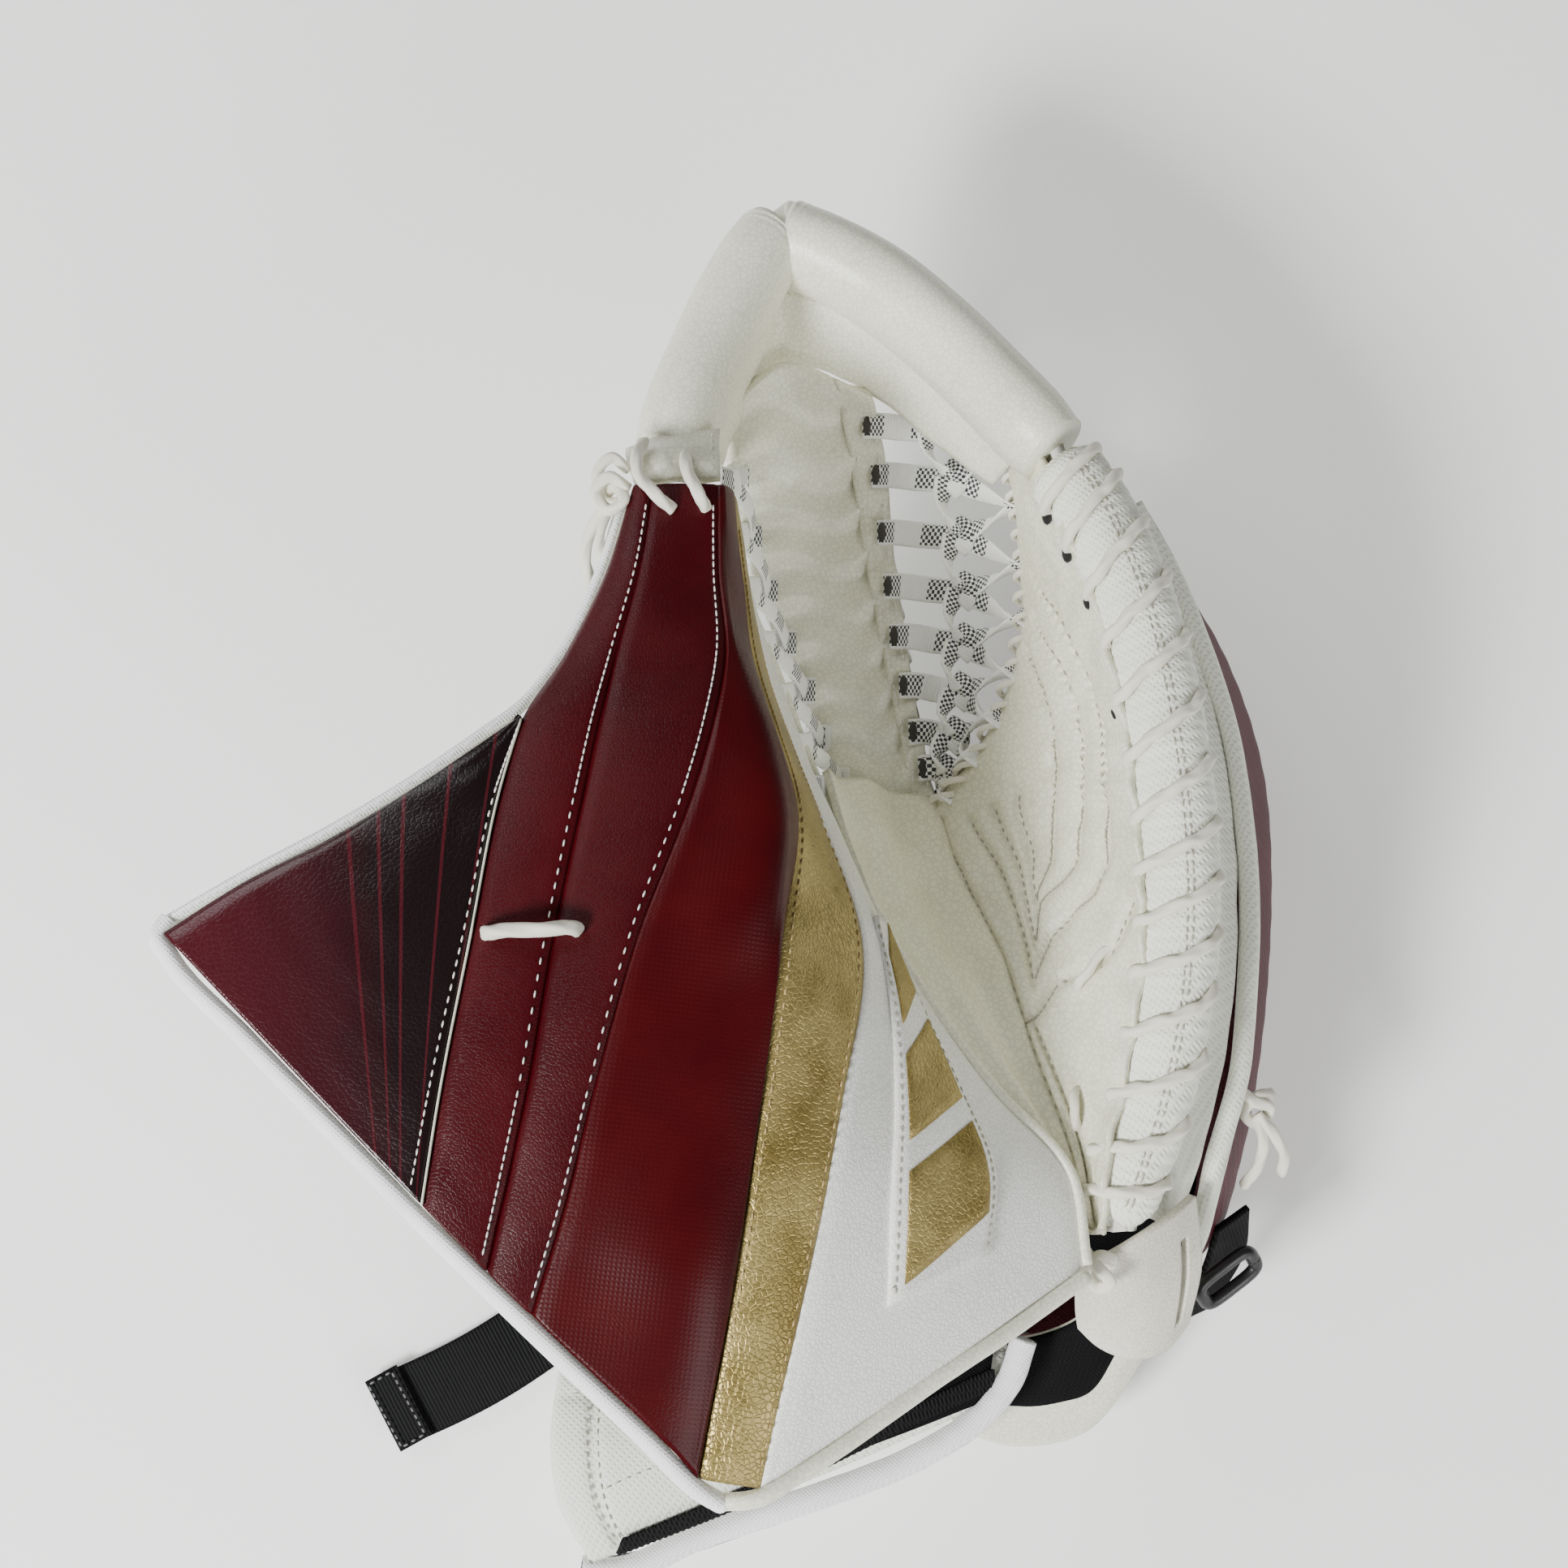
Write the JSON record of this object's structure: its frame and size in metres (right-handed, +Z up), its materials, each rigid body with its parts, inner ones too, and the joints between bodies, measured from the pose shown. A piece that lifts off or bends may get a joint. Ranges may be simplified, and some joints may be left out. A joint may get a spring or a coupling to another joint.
{
  "type": "ice hockey goalie catch glove",
  "caption": "Ice hockey goalie catch glove for the left hand: padded cuff and thumb, laced pocket, finger side with a whip-laced roll, wrist flap and strap.",
  "frame": {"origin": "centre of the bounding box, on the surface the glove lies on", "axes": "+Z up from the surface, +X from the cuff to the little-finger side, +Y from the wrist to the point of the T"},
  "size_m": [0.3326, 0.4211, 0.184],
  "materials": {
    "white_leather": "soft matte",
    "pearl_leather": "pearl grain",
    "white_nylon": "woven twill",
    "white_piping": "satin",
    "maroon_leather": "satin grain",
    "dark_maroon": "gloss",
    "gold_leather": "metallic grain",
    "maroon_nylon": "ribbed",
    "foam_board": "foam",
    "liner_fabric": "knit",
    "lace": "braided",
    "net_lace": "flat braid",
    "black_webbing": "woven",
    "black_plastic": "moulded"
  },
  "bodies": {
    "hand_half": {"palm_leather": "white_leather", "palm_foam": "foam_board", "perimeter_roll": "white_nylon", "perimeter_lace": "lace", "t_roll_right": "white_leather", "t_lining_right": "white_leather", "backhand_pad": "maroon_nylon", "hand_liner": "liner_fabric", "backhand_binding": "white_nylon", "roll_wall": "white_nylon", "finger_dividers": "liner_fabric", "heel_tab": "white_leather", "heel_knot": "lace", "side_knot": "lace", "palm_ties": "lace", "strap_base": "black_webbing", "strap_band": "black_webbing"},
    "thumb_half": {"cuff_board": "foam_board", "cuff_lining": "liner_fabric", "cuff_outer_panel": "dark_maroon", "cuff_strip_left": "maroon_leather", "cuff_strip_right": "maroon_leather", "cuff_texture_panel": "maroon_leather", "cuff_gold_stripe": "gold_leather", "cuff_white_panel": "pearl_leather", "emblem_patch": "pearl_leather", "emblem_bars": "gold_leather", "cuff_binding": "white_nylon", "cuff_piping": "white_piping", "cuff_tie_lace": "lace", "thumb_stall": "liner_fabric", "t_roll_left": "white_leather", "t_lining_left": "white_leather", "t_tab_left": "white_leather", "thumb_tip_lace": "lace", "thumb_tip_knot": "lace", "thumb_gusset": "white_leather"},
    "web": {"web_spine": "white_leather", "spine_edge_band": "white_leather", "web_net_left": "net_lace", "web_net_right": "net_lace"},
    "wrist_flap": {"wrist_pad": "white_nylon", "wrist_pad_roll": "white_nylon", "wrist_elastic": "black_webbing", "wrist_liner": "liner_fabric"},
    "strap_tail": {"strap_tail": "black_webbing", "strap_end_tab": "black_webbing"},
    "strap_keeper": {"strap_keeper": "black_plastic"}
  },
  "joints": [
    {"name": "break_fold", "type": "hinge", "parent": "hand_half", "child": "thumb_half", "pos_m": [0.003, 0.199, 0.105], "axis": [-0.285, 0.9584, 0.0157], "range_deg": [-12, 28]},
    {"name": "web_fold", "type": "hinge", "parent": "hand_half", "child": "web", "pos_m": [0.003, 0.199, 0.105], "axis": [-0.285, 0.9584, 0.0157], "range_deg": [-6, 14], "deforming": ["web_net_left", "web_net_right"]},
    {"name": "wrist_flap_swing", "type": "hinge", "parent": "hand_half", "child": "wrist_flap", "pos_m": [0.01, -0.131, 0.024], "axis": [-1, 0, 0], "range_deg": [0, 25]},
    {"name": "strap_lift", "type": "hinge", "parent": "hand_half", "child": "strap_tail", "pos_m": [-0.07, -0.1345, 0.0038], "axis": [-0.4891, 0.8722, 0], "range_deg": [0, 60]},
    {"name": "keeper_swivel", "type": "hinge", "parent": "hand_half", "child": "strap_keeper", "pos_m": [0.147, -0.124, 0.046], "axis": [0.8, 0.6, 0], "range_deg": [-20, 20]}
  ],
  "couplings": [
    {"joint": "web_fold", "follows": "break_fold", "ratio": 0.5}
  ]
}
